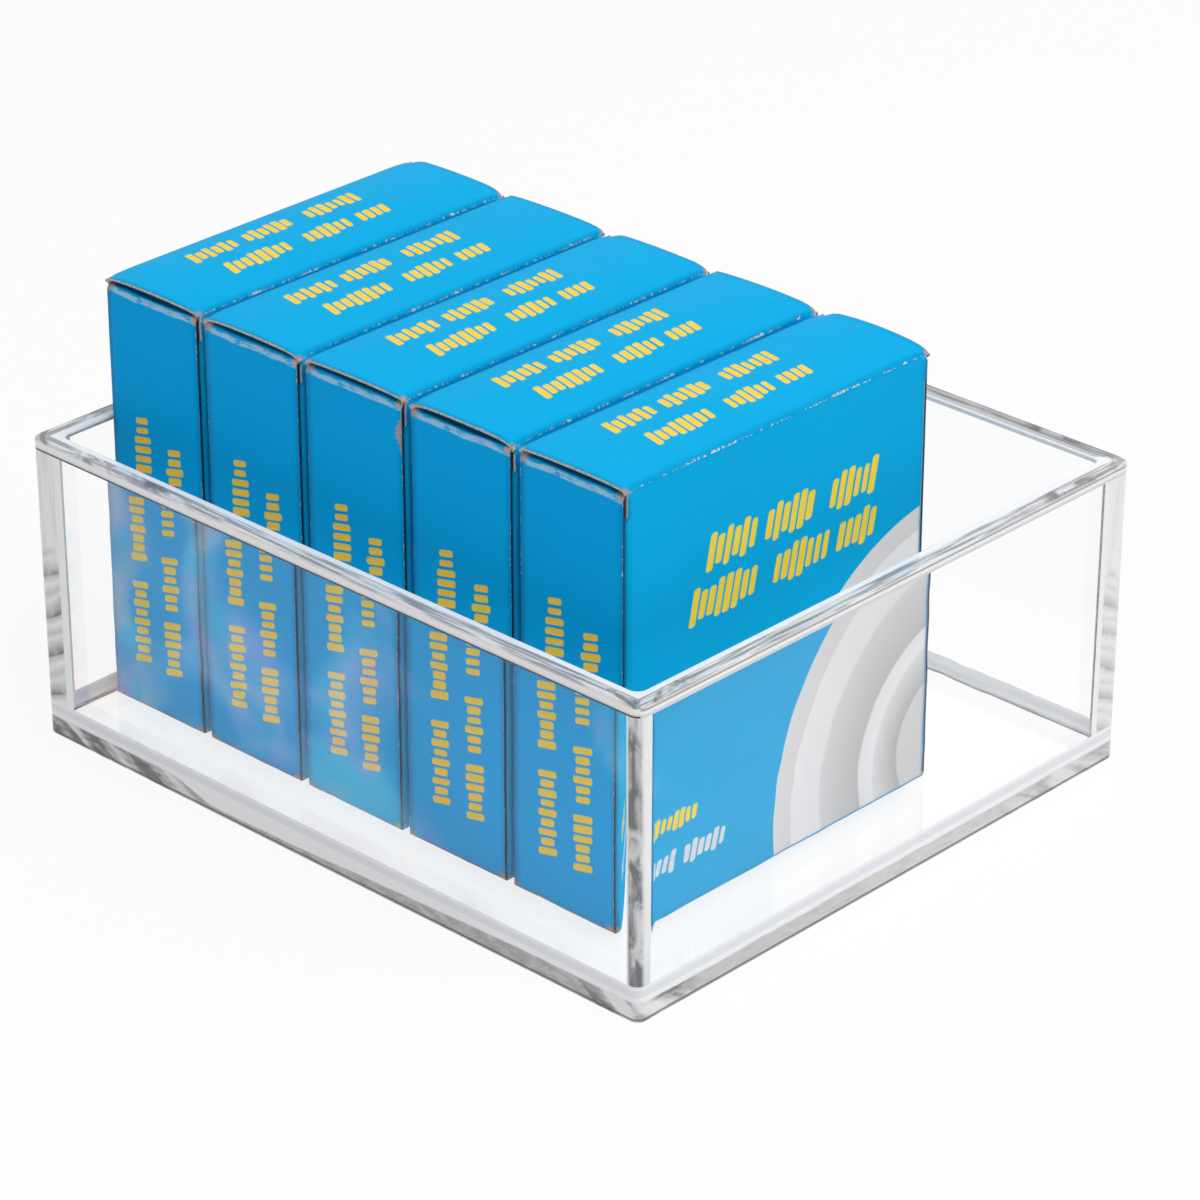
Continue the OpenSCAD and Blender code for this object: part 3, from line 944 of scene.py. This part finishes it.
tape, plastic = tape_paint(), core_paint()
for n in range(1, CARTONS + 1):
    for node, material in (("tape_roll_%d" % n, tape), ("core_%d" % n, plastic)):
        held = frame["nodes"][node].data.materials
        held.clear()
        held.append(material)


# ---- Stage, light and camera ---------------------------------------------

STAGE_REACH, STAGE_GAP = 6.0, 0.2 * MM    # in metres
STAGE_GLOW = 0.88                # share of the floor's look that is plain white
SKY_LIGHT = 0.46                 # strength of the sky as a light. To the eye it is 1


def white_to_eye(tree):
    """1 for rays from the camera, and for those that gloss or glass sends on."""
    path = tree.nodes.new("ShaderNodeLightPath")
    seen = Num(tree, path.outputs["Is Camera Ray"])
    for key in ("Is Glossy Ray", "Is Transmission Ray"):
        seen = seen.high(Num(tree, path.outputs[key]))
    return seen


def stage():
    """A wide floor just below the tray, white to the eye but for a faint shadow."""
    sides = ((-1, -1), (1, -1), (1, 1), (-1, 1))
    mesh = bpy.data.meshes.new("floor")
    mesh.from_pydata([(x * STAGE_REACH, y * STAGE_REACH, -STAGE_GAP) for x, y in sides],
                     [], [(0, 1, 2, 3)])
    floor = bpy.data.objects.new("floor", mesh)
    bpy.context.scene.collection.objects.link(floor)
    p = Paint("floor", [0.92, 0.92, 0.92, 1], 0.9)
    bright = p.add("ShaderNodeEmission")
    mixer = p.add("ShaderNodeMixShader")
    p.link(white_to_eye(p.tree) * STAGE_GLOW, mixer.inputs[0])
    p.link(p.shader.outputs[0], mixer.inputs[1])
    p.link(bright.outputs[0], mixer.inputs[2])
    p.link(mixer.outputs[0], p.output.inputs["Surface"])
    mesh.materials.append(p.material)


def world():
    """An even white sky."""
    sky = bpy.data.worlds.new("studio")
    bpy.context.scene.world = sky
    sky.use_nodes = True
    background = sky.node_tree.nodes["Background"]
    background.inputs["Color"].default_value = (1, 1, 1, 1)
    level = white_to_eye(sky.node_tree) * (1.0 - SKY_LIGHT) + SKY_LIGHT
    sky.node_tree.links.new(level.socket, background.inputs["Strength"])


def aimed(name, data, place, aim):
    """A new object for a lamp or a camera at place, turned to aim."""
    thing = bpy.data.objects.new(name, data)
    thing.location = place
    thing.rotation_euler = (aim - place).to_track_quat("-Z", "Y").to_euler()
    bpy.context.scene.collection.objects.link(thing)
    return thing


def lamp():
    """One soft square lamp. LAMP_LEVEL is what it adds to a white surface that faces it."""
    data = bpy.data.lights.new("key", "AREA")
    data.shape = "SQUARE"
    data.size = LAMP_SIZE
    place, aim = Vector(LAMP_AT), Vector(LAMP_AIM)
    data.energy = LAMP_LEVEL * math.pi ** 2 * (place - aim).length_squared
    aimed("key", data, place, aim)


def camera():
    """The view that was fitted to the tray's corners."""
    data = bpy.data.cameras.new("camera")
    data.sensor_width = SENSOR
    data.lens = LENS
    data.clip_start = 0.01
    eye = aimed("camera", data, Vector(EYE_AT) * MM, Vector(EYE_AIM) * MM)
    bpy.context.scene.camera = eye


stage()
world()
lamp()
camera()
bpy.context.scene.view_settings.view_transform = "Standard"
